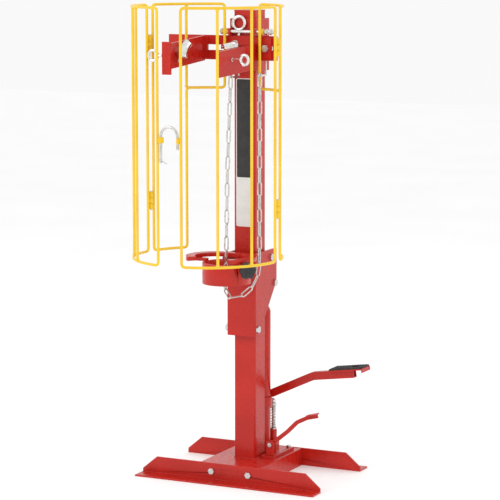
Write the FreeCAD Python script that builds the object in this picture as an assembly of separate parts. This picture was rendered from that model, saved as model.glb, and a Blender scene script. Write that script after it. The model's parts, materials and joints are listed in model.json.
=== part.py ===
"""Foot-pumped hydraulic coil spring compressor with a wire safety cage, in millimetres.

The origin is on the column's axis at floor level, +Z is up and the spring hooks reach towards -Y.
Each sub-part is written to parts/NODE.step.
"""
import FreeCAD, Part
import math
import os

from FreeCAD import Vector

# Stand
rail_length = 575.0
rail_spacing = 284.0
rail_height = 53.0
rail_toe_width = 55.0
rail_wall = 5.0
rail_end_rise = 14.0
rail_end_chamfer = 47.0
beam_width = 194.0
beam_wall = 5.0
base_offset_y = 14.0
rail_bolt_pitch = 119.0
rail_bolt_radius = 5.0
column_side = 68.0
column_wall = 5.0
column_top = 1360.0
cap_thickness = 3.0
label_width = 54.0
label_bottom = 739.0
label_top = 1168.0
label_thickness = 0.4

# Head
head_gap = 2.0
sleeve_wall = 6.0
sleeve_bottom = 1189.0
sleeve_top = 1339.0
bar_left = -237.0
bar_right = 109.0
bar_bottom = 1221.0
bar_top = 1291.0
bar_thickness = 8.0
slot_left = -215.0
slot_right = 98.0
slot_height = 16.0
slot_middle = 1256.0
cage_rod_radius = 4.5
cage_rod_left = -66.0
cage_rod_right = 112.0
cage_rod_height = 12.0
cage_rod_stand_off = 6.5

# Hook arms
arm_thickness = 8.0
arm_reach = 196.0
arm_height = 72.0
arm_drop = 15.0
slide_gap = 0.3
shoe_thickness = 6.0
shoe_width = 46.0
clamp_bolt_radius = 6.0
claw_outer = 14.0
claw_inner = 9.0
claw_sweep_radius = 58.0
claw_half_angle = 32.0
left_claw_place = 0.80
left_claw_drop = 40.0
left_claw_tilt = 50.0
right_claw_place = 0.50
right_claw_drop = 6.0
right_claw_tilt = 8.0
left_arm_x = -119.0
left_arm_angle = 1.5
right_arm_x = 49.0
right_arm_angle = 7.0
right_arm_lower = 22.0
end_flange_height = 92.0
end_flange_width = 20.0

# Cage
cage_centre_y = -266.0
cage_radius = 209.0
cage_bottom = 680.0
cage_top = 1381.0
cage_cut = 1142.0
wire_radius = 4.0
hoop_radius = 3.7
strap_radius = 3.4
rear_left_uprights = (165.0, 134.0)
rear_left_top_upright = 103.5
rear_right_uprights = (10.0, 41.0)
rear_right_top_upright = 72.0
left_door_uprights = (172.0, 200.0, 228.0, 256.5)
right_door_uprights = (277.0, 304.5, 332.0, 359.5)
hinge_heights = (825.0, 1270.0)
knuckle_radius = 7.0
knuckle_length = 16.0
knuckle_gap = 0.6
hinge_pin_radius = 3.0
latch_height = 1024.0
latch_wire_radius = 3.6
latch_eye_outer = 8.0
latch_eye_length = 16.0
latch_eye_bite = 1.5
latch_gap = 0.7

# Carriage
carriage_bottom = 421.0
carriage_top = 665.0
carriage_half_width = 46.0
carriage_front = -58.0
carriage_wall = 6.0
carriage_rear = 86.0
carriage_shoulder = 567.0
carriage_toe = -34.0
roller_gap = 0.6
upper_roller_radius = 11.0
upper_roller_height = 642.0
lower_roller_radius = 8.6
lower_roller_height = 441.0
pin_radius = 6.0
side_play = 1.5

# Strut collar and spring seat
collar_y = -150.0
collar_outer = 70.0
collar_wall = 8.0
collar_bottom = 590.0
collar_top = 650.0
seat_bottom = 656.0
seat_thickness = 12.0
seat_inner = 60.0
seat_outer = 86.0
seat_shift = 35.0
chain_link_length = 42.0
chain_link_width = 15.0
chain_wire_radius = 2.1
chain_pitch = 37.6
chain_hook_radius = 2.6
chain_hook_drop = 5.8
chain_hook_reach = 6.0
chain_hook_lip = 8.0
knob_angle = -28.0
knob_height = 638.0
knob_radius = 25.0
knob_length = 22.0
clamp_screw_radius = 5.0
thread_gap = 0.3
running_gap = 0.08

# Jack and pump
jack_y = 72.0
jack_radius = 30.0
jack_bore = 24.0
jack_top = 489.0
ram_radius = 14.0
ram_pin_height = 564.0
ram_stroke = 300.0
plate_thickness = 8.0
plate_right = 82.0
plate_left = -48.0
plate_front = -10.0
plate_rear = 134.0
plate_step = 40.0
plate_screw_radius = 4.0
pump_x = 20.0
pump_y = 118.0
pump_barrel_radius = 11.0
pump_barrel_top = 112.0
piston_radius = 5.0
spring_bottom = 116.0
spring_top = 186.0
spring_radius = 8.0
spring_wire_radius = 1.25
spring_turns = 9

# Pedals
pedal_pivot_x = -20.0
pedal_pin_radius = 5.0
release_pin_radius = 4.0
lever_half_height = 12.0
lever_half_depth = 10.0
lever_wall = 2.5
lever_start = (15.5, 220.4)
lever_bend = (154.5, 286.0)
lever_end = (285.5, 304.0)
lever_bend_radius = 60.0
foot_plate_length = 108.0
foot_plate_width = 62.0
foot_plate_thickness = 4.0
pad_thickness = 6.0
release_x = 66.0
release_y = 8.0
release_z = 92.0
release_thickness = 6.0
release_half_height = 6.0
release_bends = ((0.0, 0.0), (54.0, 44.0), (84.0, 74.0), (118.0, 91.0), (150.0, 99.0))
release_bend_radius = 26.0

X = Vector(1, 0, 0)
Y = Vector(0, 1, 0)
Z = Vector(0, 0, 1)


def block(x0, x1, y0, y1, z0, z1):
    """A box between two corners."""
    return Part.makeBox(x1 - x0, y1 - y0, z1 - z0, Vector(x0, y0, z0))


def rod(start, end, radius):
    """A round bar from one point to another."""
    span = end - start
    return Part.makeCylinder(radius, span.Length, start, span)


def tube(start, end, outer, inner):
    """A round tube from one point to another."""
    return rod(start, end, outer).cut(rod(start, end, inner))


def prism(points, direction):
    """A flat outline pushed along a direction."""
    return Part.Face(Part.makePolygon(points + points[:1])).extrude(direction)


def hexagon(centre, direction, across, depth):
    """A hexagonal head or nut that grows from its seating face."""
    turn = FreeCAD.Rotation(Z, direction)
    corner = across / math.sqrt(3)
    points = []
    for step in range(6):
        angle = math.radians(60 * step)
        local = Vector(corner * math.cos(angle), corner * math.sin(angle), 0)
        points.append(centre + turn.multVec(local))
    return prism(points, direction.normalize() * depth)


def bolt(start, end, radius, across=None, head=6.0, nut=6.0):
    """A hexagon bolt with its nut, its head seated at start and its nut at end."""
    across = across or radius * 3.2
    along = Vector(end - start).normalize()
    shank = rod(start, end + along * (nut + 3.0), radius)
    cap = hexagon(start, along * -1.0, across, head)
    locknut = hexagon(end, Vector(along), across, nut)
    return shank.fuse([cap, locknut]).removeSplitter()


def eye_bolt(foot, direction, stem, ring_radius, wire_radius_here, ring_axis):
    """An eye bolt: a collar on its seat, a stem and a ring."""
    along = Vector(direction).normalize()
    centre = foot + along * (stem + ring_radius)
    ring = Part.makeTorus(ring_radius, wire_radius_here, centre, ring_axis)
    shank = rod(foot, foot + along * (stem + wire_radius_here * 0.4), wire_radius_here * 0.8)
    collar = rod(foot, foot + along * 4.0, wire_radius_here * 1.1)
    return ring.fuse([shank, collar])


def fuse(shapes):
    """All the shapes as one solid."""
    return shapes[0].fuse(shapes[1:]).removeSplitter()


def on_cage(angle, height, radius=cage_radius):
    """A point on the cage's cylinder."""
    turn = math.radians(angle)
    return Vector(radius * math.cos(turn), cage_centre_y + radius * math.sin(turn), height)


def upright(angle, low, high):
    """A vertical cage wire that stands a wire's radius past its hoops."""
    return [rod(on_cage(angle, low - wire_radius), on_cage(angle, high + wire_radius), wire_radius)]


def hoop(start, end, height):
    """A horizontal cage wire from one angle to another."""
    low, high = sorted((start, end))
    tangent = on_cage(low + 90, 0) - on_cage(low - 90, 0)
    section = Part.Wire(Part.makeCircle(hoop_radius, on_cage(low, height), tangent))
    axis = Vector(0, cage_centre_y, 0)
    return Part.Face(section).revolve(axis, Z, high - low)


def knuckles(hinge_angle, wire_angle, levels):
    """Hinge knuckles with the straps that join them to an upright."""
    parts = []
    for low, high in levels:
        axis_low = on_cage(hinge_angle, low)
        middle = (low + high) / 2
        strap = rod(on_cage(hinge_angle, middle), on_cage(wire_angle, middle), strap_radius)
        parts += [rod(axis_low, on_cage(hinge_angle, high), knuckle_radius), strap]
    return parts


def hinge_bores(shape, hinge_angle, radius):
    """The shape with its hinge knuckles bored."""
    return shape.cut(rod(on_cage(hinge_angle, cage_bottom), on_cage(hinge_angle, cage_top), radius))


def fixed_levels(height):
    """The two knuckles of a fixed panel, above and below the door's."""
    inner = knuckle_length / 2 + knuckle_gap
    return [(height - inner - knuckle_length, height - inner),
            (height + inner, height + inner + knuckle_length)]


def door_levels(height):
    """The single knuckle of a door."""
    return [(height - knuckle_length / 2, height + knuckle_length / 2)]


left_hinge = (rear_left_uprights[0] + left_door_uprights[0]) / 2
right_hinge = (rear_right_uprights[0] + right_door_uprights[-1] - 360.0) / 2
half_column = column_side / 2
sleeve_face = half_column + head_gap + sleeve_wall
bar_front = -sleeve_face - bar_thickness
cage_rod_y = bar_front - cage_rod_stand_off
cage_rod_z = bar_top + cage_rod_height


def rail(side):
    """An angle-iron foot rail: side is -1 for the front rail and 1 for the rear."""
    half = rail_length / 2
    web_y = base_offset_y + side * rail_spacing / 2
    outline = [
        Vector(-half, 0, 0),
        Vector(half, 0, 0),
        Vector(half, 0, rail_end_rise),
        Vector(half - rail_end_chamfer, 0, rail_height),
        Vector(-half + rail_end_chamfer, 0, rail_height),
        Vector(-half, 0, rail_end_rise),
    ]
    web = prism(outline, Vector(0, side * rail_wall, 0))
    toe_y = (side * rail_wall, side * rail_toe_width)
    toe = block(-half, half, min(toe_y), max(toe_y), 0, rail_wall)
    shape = fuse([web, toe])
    shape.translate(Vector(0, web_y, 0))
    return drill_for_rail_bolts(shape)


def rail_bolt_places():
    """The rail bolts' places along the rail, and their height."""
    return [(x, rail_height / 2 + 2.0) for x in (-rail_bolt_pitch / 2, rail_bolt_pitch / 2)]


def drill_for_rail_bolts(shape):
    """The shape with clearance holes for the rail bolts."""
    reach = rail_spacing / 2 + rail_wall + 1.0
    for x, z in rail_bolt_places():
        for side in (-1, 1):
            outer = Vector(x, base_offset_y + side * reach, z)
            inner = Vector(x, base_offset_y + side * (reach - 4 * rail_wall), z)
            shape = shape.cut(rod(outer, inner, rail_bolt_radius + 0.3))
    return shape


def rail_bolts():
    """The four bolts that hold the rails to the beam's ends."""
    bolts = []
    for side in (-1, 1):
        inner = base_offset_y + side * (rail_spacing / 2 - beam_wall)
        outer = base_offset_y + side * (rail_spacing / 2 + rail_wall)
        for x, z in rail_bolt_places():
            bolts.append(bolt(Vector(x, outer, z), Vector(x, inner, z), rail_bolt_radius, 17.0, 5.0, 6.0))
    return bolts


def base_beam():
    """The closed hollow box beam between the rails, drilled for the rail bolts."""
    y0 = base_offset_y - rail_spacing / 2
    y1 = base_offset_y + rail_spacing / 2
    half = beam_width / 2
    top = rail_height - 1.0
    shell = block(-half, half, y0, y1, 0, top)
    hollow = block(-half + beam_wall, half - beam_wall, y0 + beam_wall, y1 - beam_wall, beam_wall,
            top - beam_wall)
    return drill_for_rail_bolts(shell.cut(hollow))


def column():
    """The square column with rounded edges, open at the top."""
    base = rail_height - 1.0
    outer = block(-half_column, half_column, -half_column, half_column, base, column_top)
    uprights = [e for e in outer.Edges if abs(e.tangentAt(e.FirstParameter).z) > 0.9]
    outer = outer.makeFillet(5.0, uprights)
    inside = half_column - column_wall
    return outer.cut(block(-inside, inside, -inside, inside, base, column_top))


def column_cap():
    """A pressed cap with a plug that enters the column's top."""
    plug = half_column - column_wall - 0.3
    lid = block(-half_column, half_column, -half_column, half_column, column_top,
            column_top + cap_thickness)
    return fuse([lid, block(-plug, plug, -plug, plug, column_top - 14.0, column_top)])


def column_label():
    """A blank dark panel on the column's front."""
    half = label_width / 2
    panel = block(-half, half, -half_column - label_thickness, -half_column, label_bottom, label_top)
    corners = [e for e in panel.Edges if abs(e.tangentAt(e.FirstParameter).y) > 0.9]
    return panel.makeFillet(6.0, corners)


def head_sleeve():
    """The square sleeve that is clamped round the column's top."""
    bore = half_column + head_gap
    outer = block(-sleeve_face, sleeve_face, -sleeve_face, sleeve_face, sleeve_bottom, sleeve_top)
    return outer.cut(block(-bore, bore, -bore, bore, sleeve_bottom, sleeve_top))


def head_shims():
    """Wear strips between the sleeve and the column, and the through bolts' spacers."""
    strips = []
    for side in (-1, 1):
        for z in (sleeve_bottom + 10.0, sleeve_top - 40.0):
            inner, outer = sorted((side * half_column, side * (half_column + head_gap)))
            strips.append(block(inner, outer, -24.0, 24.0, z, z + 30.0))
            strips.append(block(-24.0, 24.0, inner, outer, z, z + 30.0))
    return strips


def head_bar():
    """The slotted cross bar that carries the hook arms."""
    plate = block(bar_left, bar_right, bar_front, -sleeve_face, bar_bottom, bar_top)
    radius = slot_height / 2
    slot = block(slot_left + radius, slot_right - radius, bar_front, -sleeve_face,
                 slot_middle - radius, slot_middle + radius)
    for x in (slot_left + radius, slot_right - radius):
        slot = slot.fuse(rod(Vector(x, bar_front, slot_middle), Vector(x, -sleeve_face, slot_middle),
                radius))
    return plate.cut(slot)


def rod_brackets():
    """Two ears on the bar's top edge that hold the cage rod."""
    ears = []
    for x in (-34.0, 44.0):
        ear = block(x - 3.0, x + 3.0, cage_rod_y - 9.0, -sleeve_face, bar_top, cage_rod_z + 9.0)
        hole = rod(Vector(x - 3.0, cage_rod_y, cage_rod_z), Vector(x + 3.0, cage_rod_y, cage_rod_z),
                cage_rod_radius)
        ears.append(ear.cut(hole))
    return ears


def cage_rod():
    """The threaded rod that carries the two fixed cage panels, with its nuts."""
    start = Vector(cage_rod_left, cage_rod_y, cage_rod_z)
    end = Vector(cage_rod_right, cage_rod_y, cage_rod_z)
    nuts = []
    for x in (cage_rod_left + 3.0, 79.0, 92.0):
        nuts.append(hexagon(Vector(x, cage_rod_y, cage_rod_z), Vector(X), 15.0, 6.0))
    return fuse([rod(start, end, cage_rod_radius)] + nuts)


def lug(angle):
    """A tube on an upright that the cage rod passes through."""
    wire = on_cage(angle, cage_rod_z)
    centre = Vector(wire.x, cage_rod_y, cage_rod_z)
    sleeve = rod(centre - X * 7.0, centre + X * 7.0, 8.5)
    web = block(wire.x - 5.0, wire.x + 5.0, wire.y - wire_radius * 0.5, cage_rod_y, cage_rod_z - 6.0,
            cage_rod_z + 6.0)
    return sleeve, web


def rear_panel(uprights, top_upright, hinge_angle):
    """A fixed rear cage panel: two full uprights, a short one by the head, hoops and hinge knuckles."""
    parts = []
    for angle in uprights:
        parts += upright(angle, cage_bottom, cage_top)
    parts += upright(top_upright, cage_cut, cage_top)
    parts.append(hoop(uprights[0], uprights[1], cage_bottom))
    parts.append(hoop(uprights[0], top_upright, cage_top))
    parts.append(hoop(uprights[1], top_upright, cage_cut))
    for height in hinge_heights:
        parts += knuckles(hinge_angle, uprights[0], fixed_levels(height))
    parts += lug(top_upright)
    shape = hinge_bores(fuse(parts), hinge_angle, hinge_pin_radius)
    passage = rod(Vector(-200, cage_rod_y, cage_rod_z), Vector(200, cage_rod_y, cage_rod_z),
            cage_rod_radius)
    return shape.cut(passage)


def hinge_pins(hinge_angle):
    """The two headed pins of one door's hinges."""
    pins = []
    for height in hinge_heights:
        reach = knuckle_length * 1.5 + knuckle_gap
        top = on_cage(hinge_angle, height + reach)
        pin = rod(on_cage(hinge_angle, height - reach - 3.0), top + Z * 2.0, hinge_pin_radius)
        pins.append(pin.fuse(rod(top, top + Z * 3.0, 5.0)))
    return pins


def door(uprights, hinge_angle, hinge_wire, latch_wire, latch_side):
    """A cage door: four uprights, two hoops, its hinge knuckles and the latch eye's stub."""
    parts = []
    for angle in uprights:
        parts += upright(angle, cage_bottom, cage_top)
    parts.append(hoop(uprights[0], uprights[-1], cage_bottom))
    parts.append(hoop(uprights[0], uprights[-1], cage_top))
    for height in hinge_heights:
        parts += knuckles(hinge_angle, hinge_wire, door_levels(height))
    eye = latch_eye_point(latch_wire, latch_side)
    parts.append(rod(on_cage(latch_wire, latch_height), Vector(eye.x, eye.y, latch_height), strap_radius))
    half = latch_eye_length / 2
    parts.append(rod(eye - Z * half, eye + Z * half, latch_eye_outer))
    shape = hinge_bores(fuse(parts), hinge_angle, hinge_pin_radius + 0.3)
    bore = rod(eye - Z * latch_eye_length, eye + Z * latch_eye_length, latch_wire_radius + latch_gap)
    shape = shape.cut(bore)
    if latch_side < 0:
        mouth = latch_eye_outer + 1.0
        shape = shape.cut(block(eye.x - mouth, eye.x, eye.y - mouth, eye.y + mouth,
                                latch_height - latch_eye_length, latch_height + latch_eye_length))
    return shape


def latch_eye_point(angle, side):
    """The centre of a latch eye, beside its door's last upright."""
    return on_cage(angle, latch_height) + X * (side * (wire_radius + latch_eye_outer - latch_eye_bite))


def latch_hook():
    """The bent wire that drops through both doors' eyes: a long leg, an arch and a short leg."""
    left = latch_eye_point(left_door_uprights[-1], 1)
    right = latch_eye_point(right_door_uprights[0], -1)
    half_span = (right - left).Length / 2
    middle = (left + right) * 0.5
    spring_line = latch_height + 10.0
    along = (right - left).normalize()
    centre = Vector(middle.x, middle.y, spring_line)
    crown = centre + Z * half_span
    arch_edge = Part.Arc(centre - along * half_span, crown, centre + along * half_span).toShape()
    long_leg = Part.LineSegment(Vector(left.x, left.y, latch_height - 62.0),
            centre - along * half_span).toShape()
    short_leg = Part.LineSegment(centre + along * half_span,
            Vector(right.x, right.y, latch_height - 24.0)).toShape()
    path = Part.Wire([long_leg, arch_edge, short_leg])
    section = Part.Wire(Part.makeCircle(latch_wire_radius, Vector(left.x, left.y, latch_height - 62.0), Z))
    hook = path.makePipeShell([section], True, False)
    clip_low = Vector(left.x, left.y, latch_height - 56.0)
    clip = rod(clip_low - Vector(6, 0, -3), clip_low + Vector(18, 0, -8), 1.4)
    return hook.fuse(clip)


def arm_frame(foot_x, angle, side):
    """The placement of an arm: local x runs out along the arm and local y is its inner side."""
    turn = math.radians(angle)
    along = Vector(-math.sin(turn), -math.cos(turn), 0)
    inner = Vector(along.y * -1.0, along.x, 0) * (1 if side < 0 else -1)
    if inner.x * side > 0:
        inner = inner * -1.0
    return Vector(foot_x, bar_front - slide_gap - shoe_thickness, 0), along, inner


def arm_plate(foot_x, angle, side, top, flange):
    """A sloping hook arm with the shoe that slides on the bar."""
    foot, along, inner = arm_frame(foot_x, angle, side)
    half = inner * (arm_thickness / 2)
    near = foot + along * arm_reach
    outline = [
        Vector(foot.x, foot.y, top) - half,
        Vector(near.x, near.y, top - arm_drop) - half,
        Vector(near.x, near.y, top - arm_drop - arm_height) - half,
        Vector(foot.x, foot.y, top - arm_height) - half,
    ]
    plate = prism(outline, inner * arm_thickness)
    outward = 1 if side > 0 else -1
    shoe_x = sorted((foot_x - outward * arm_thickness * 0.8, foot_x + outward * shoe_width))
    shoe = block(shoe_x[0], shoe_x[1], foot.y, foot.y + shoe_thickness, bar_bottom + 4.0, bar_top - 4.0)
    seat = block(foot.x - 12.0, foot.x + 12.0, foot.y - 2.0, foot.y + shoe_thickness, bar_bottom + 4.0,
                 min(top, bar_top - 4.0))
    parts = [plate.common(block(-400, 400, -400, foot.y + 1.0, 0, 2000)), shoe, seat]
    if flange:
        corner = near - half
        points = [corner, corner + along * 6.0, corner + along * 6.0 - inner * end_flange_width,
                  corner - inner * end_flange_width]
        low = top - arm_drop - end_flange_height + 4.0
        base = [Vector(p.x, p.y, low) for p in points]
        parts.append(prism(base, Z * end_flange_height))
        inner_strip = [near + half, near + half + along * 6.0, near - half + along * 6.0, near - half]
        parts.append(prism([Vector(p.x, p.y, low) for p in inner_strip], Z * end_flange_height))
    shape = fuse(parts)
    bolt_x = foot_x + outward * shoe_width * 0.62
    hole = rod(Vector(bolt_x, foot.y - 20, slot_middle), Vector(bolt_x, foot.y + 20, slot_middle),
            clamp_bolt_radius)
    return shape.cut(hole), bolt_x


def arm_claw(foot_x, angle, side, level, place, tilt):
    """A polished channel, bent round the spring's coil, on the inner face of an arm."""
    foot, along, inner = arm_frame(foot_x, angle, side)
    stand_off = arm_thickness / 2 + 2.0 + claw_outer
    middle = foot + along * (arm_reach * place)
    track = Vector(middle.x, middle.y, level) + inner * stand_off
    axis_point = track + inner * claw_sweep_radius
    outer = Part.Wire(Part.makeCircle(claw_outer, track, along))
    swept = Part.Face(outer).revolve(axis_point, Z, claw_half_angle)
    swept = swept.fuse(Part.Face(outer).revolve(axis_point, Z, -claw_half_angle))
    groove_wire = Part.Wire(Part.makeCircle(claw_inner, track, along))
    groove = Part.Face(groove_wire).revolve(axis_point, Z, claw_half_angle + 5.0)
    groove = groove.fuse(Part.Face(groove_wire).revolve(axis_point, Z, -claw_half_angle - 5.0))
    lower_half = block(-400, 400, -600, 100, level - 40.0, level - 1.0)
    foot_low = track - inner * (stand_off - arm_thickness / 2) - along * 9.0
    pad = prism([foot_low, foot_low + along * 18.0, foot_low + along * 18.0 + inner * 10.0,
            foot_low + inner * 10.0],
                Z * (claw_outer * 0.7))
    claw = swept.fuse(pad).cut(groove).cut(lower_half)
    claw.rotate(track, inner, tilt if side < 0 else -tilt)
    return claw


def carriage_frame():
    """The folded carriage: a front plate and two tapering side plates that straddle the column."""
    outline = [
        Vector(-carriage_half_width, carriage_front, carriage_bottom),
        Vector(-carriage_half_width, carriage_front, carriage_top),
        Vector(-carriage_half_width, carriage_rear, carriage_top),
        Vector(-carriage_half_width, carriage_rear, carriage_shoulder),
        Vector(-carriage_half_width, carriage_toe, carriage_bottom),
    ]
    outer = prism(outline, X * (2 * carriage_half_width))
    inside = carriage_half_width - carriage_wall
    hollow = block(-inside, inside, carriage_front + carriage_wall, carriage_rear + 1.0,
                   carriage_bottom - 1.0, carriage_top + 1.0)
    shape = outer.cut(hollow)
    folds = [e for e in shape.Edges
             if abs(e.tangentAt(e.FirstParameter).z) > 0.99 and abs(e.CenterOfMass.y - carriage_front) < 0.1
             and abs(abs(e.CenterOfMass.x) - carriage_half_width) < 0.1]
    shape = shape.makeFillet(5.0, folds)
    for y, z in carriage_pin_places():
        hole = rod(Vector(-60, y, z), Vector(60, y, z), pin_radius)
        shape = shape.cut(hole)
    return shape


def carriage_pin_places():
    """The three cross pins: upper roller, ram and lower roller."""
    return [
        (half_column + roller_gap + upper_roller_radius, upper_roller_height),
        (jack_y, ram_pin_height),
        (-half_column - roller_gap - lower_roller_radius, lower_roller_height),
    ]


def carriage_bolts():
    """The three bolts across the carriage, with their nuts."""
    return [bolt(Vector(carriage_half_width, y, z), Vector(-carriage_half_width, y, z), pin_radius,
            19.0, 6.0, 7.0)
            for y, z in carriage_pin_places()]


def roller(place, radius):
    """A steel roller on one of the cross pins."""
    y, z = place
    half = carriage_half_width - carriage_wall - side_play
    outline = tube(Vector(-half, y, z), Vector(half, y, z), radius, pin_radius + running_gap)
    return outline


def ram_rod():
    """The jack's ram with the eye that the cross pin passes through."""
    low = jack_top - ram_stroke - 60.0
    body = rod(Vector(0, jack_y, low), Vector(0, jack_y, ram_pin_height - 16.0), ram_radius)
    piston = rod(Vector(0, jack_y, low), Vector(0, jack_y, low + 18.0), jack_bore - 0.4)
    eye = block(-24.0, 24.0, jack_y - 15.0, jack_y + 12.0, ram_pin_height - 18.0, ram_pin_height + 16.0)
    hole = rod(Vector(-60, jack_y, ram_pin_height), Vector(60, jack_y, ram_pin_height), pin_radius)
    return fuse([body, piston, eye]).cut(hole)


def collar_bracket():
    """The welded box between the carriage and the strut collar, with its top and bottom plates."""
    half = carriage_half_width - 4.0
    inner_edge = collar_y + math.sqrt(collar_outer ** 2 - half ** 2)
    solid = block(-half, half, inner_edge - 12.0, carriage_front, collar_bottom + 4.0, collar_top + 6.0)
    hollow = block(-half + 6.0, half - 6.0, collar_y, carriage_front, collar_bottom + 10.0, collar_top)
    disc = rod(Vector(0, collar_y, 0), Vector(0, collar_y, 2000), collar_outer)
    return solid.cut(hollow).cut(disc)


def sector(centre_x, centre_y, inner, outer, start, end, low, high):
    """A flat ring sector between two angles."""
    ring = tube(Vector(centre_x, centre_y, low), Vector(centre_x, centre_y, high), outer, inner)
    wedge = Part.makeCylinder(outer * 2, high - low, Vector(centre_x, centre_y, low), Z, end - start)
    wedge.rotate(Vector(centre_x, centre_y, low), Z, start)
    return ring.common(wedge)


def strut_collar():
    """The round collar that the strut is lowered into, with the tapped boss of its clamp screw."""
    bore = collar_outer - collar_wall
    shell = tube(Vector(0, collar_y, collar_bottom), Vector(0, collar_y, collar_top), collar_outer, bore)
    away = knob_direction()
    centre = Vector(0, collar_y, knob_height)
    boss = rod(centre + away * (collar_outer - 4.0), centre + away * (collar_outer + 10.0), 11.0)
    hole = rod(centre + away * (bore - 8.0), centre + away * (collar_outer + 12.0),
            clamp_screw_radius + thread_gap)
    return shell.fuse(boss).cut(hole)


def knob_direction():
    """The outward direction of the clamp screw."""
    turn = math.radians(knob_angle)
    return Vector(math.cos(turn), math.sin(turn), 0)


def clamp_screw():
    """The clamp screw, which stops level with the collar's inner face."""
    away = knob_direction()
    centre = Vector(0, collar_y, knob_height)
    return rod(centre + away * (collar_outer - collar_wall + 0.5), centre + away * (collar_outer + 22.0),
               clamp_screw_radius)


def clamp_knob():
    """A moulded knob with six lobes."""
    away = knob_direction()
    centre = Vector(0, collar_y, knob_height)
    seat = centre + away * (collar_outer + 22.0)
    back = rod(centre + away * (collar_outer + 14.0), seat, 9.0)
    back = back.cut(rod(centre + away * (collar_outer + 13.0), seat, clamp_screw_radius))
    body = rod(seat, seat + away * knob_length, knob_radius * 0.78)
    sideways = Z.cross(away)
    for step in range(6):
        turn = math.radians(60 * step)
        offset = (sideways * math.cos(turn) + Z * math.sin(turn)) * (knob_radius * 0.7)
        body = body.fuse(rod(seat + offset, seat + offset + away * knob_length, knob_radius * 0.3))
    return body.fuse(back)


def spring_seat():
    """The horseshoe plate under the spring, on two posts and a strap above the collar."""
    top = seat_bottom + seat_thickness
    right = sector(0, collar_y, seat_inner, seat_outer, -60.0, 90.0, seat_bottom, top)
    left = sector(-seat_shift, collar_y, seat_inner, seat_outer, 90.0, 228.0, seat_bottom, top)
    bridge = block(-seat_shift, 0, collar_y + seat_inner, collar_y + seat_outer, seat_bottom, top)
    parts = [right, left, bridge]
    mid_radius = collar_outer - collar_wall / 2
    strap = block(-collar_outer - seat_shift, -collar_outer + collar_wall, collar_y - 8.0, collar_y + 8.0,
                  collar_top, seat_bottom + 2.0)
    parts.append(strap)
    for angle in (-20.0, 90.0):
        turn = math.radians(angle)
        x = mid_radius * math.cos(turn)
        y = collar_y + mid_radius * math.sin(turn)
        parts.append(rod(Vector(x, y, collar_top), Vector(x, y, seat_bottom + 3.0), 3.8))
    return fuse(parts)


def jack_plate():
    """The stepped plate that the jack stands on."""
    low = rail_height - 1.0
    high = low + plate_thickness
    rear = block(plate_left, plate_right, plate_step, plate_rear, low, high)
    front = block(plate_step, plate_right, plate_front, plate_step, low, high)
    plate = fuse([rear, front])
    for x, y in jack_plate_bolt_places():
        plate = plate.cut(rod(Vector(x, y, low), Vector(x, y, high), plate_screw_radius))
    return plate


def jack_plate_bolt_places():
    """The cap screws that hold the jack plate."""
    return [(plate_left + 10.0, plate_rear - 10.0), (plate_right - 14.0, plate_rear - 10.0),
            (plate_left + 10.0, plate_step + 10.0)]


def jack_plate_screws():
    """Hexagon screws that hold the jack plate on the beam."""
    low = rail_height - 1.0
    high = low + plate_thickness
    screws = []
    for x, y in jack_plate_bolt_places():
        shank = rod(Vector(x, y, low), Vector(x, y, high), plate_screw_radius)
        screws.append(shank.fuse(hexagon(Vector(x, y, high), Vector(Z), 13.0, 5.5)))
    return screws


def jack_cylinder():
    """The jack's outer tube with its closed foot."""
    foot = rail_height - 1.0 + plate_thickness
    outer = rod(Vector(0, jack_y, foot), Vector(0, jack_y, jack_top - 12.0), jack_radius)
    bore = rod(Vector(0, jack_y, foot + 14.0), Vector(0, jack_y, jack_top), jack_bore)
    return outer.cut(bore)


def jack_gland():
    """The screwed gland nut at the top of the jack, which guides the ram."""
    low = Vector(0, jack_y, jack_top - 12.0)
    high = Vector(0, jack_y, jack_top)
    cap = Part.makeCone(jack_radius, jack_radius - 5.0, 12.0, low, Z)
    skirt = rod(low - Z * 16.0, low, jack_bore)
    return cap.fuse(skirt).cut(rod(low - Z * 20.0, high + Z, ram_radius + 0.3))


def pump_block():
    """The pump's body: a manifold beside the jack with the upright barrel."""
    foot = rail_height - 1.0 + plate_thickness
    block_body = block(pump_x - 14.0, pump_x + 14.0, pump_y - 14.0, pump_y + 13.0, foot, foot + 26.0)
    barrel = rod(Vector(pump_x, pump_y, foot), Vector(pump_x, pump_y, pump_barrel_top), pump_barrel_radius)
    shape = fuse([block_body, barrel])
    shape = shape.cut(rod(Vector(0, jack_y, 0), Vector(0, jack_y, 400), jack_radius))
    return shape.cut(rod(Vector(pump_x, pump_y, foot + 6.0), Vector(pump_x, pump_y, 400),
            piston_radius + running_gap))


def pedal_pivot_height():
    """The pedal's pivot, in line with the lever's first run."""
    slope = (lever_bend[1] - lever_start[1]) / (lever_bend[0] - lever_start[0])
    return lever_start[1] - slope * (lever_start[0] - pedal_pivot_x)


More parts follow.
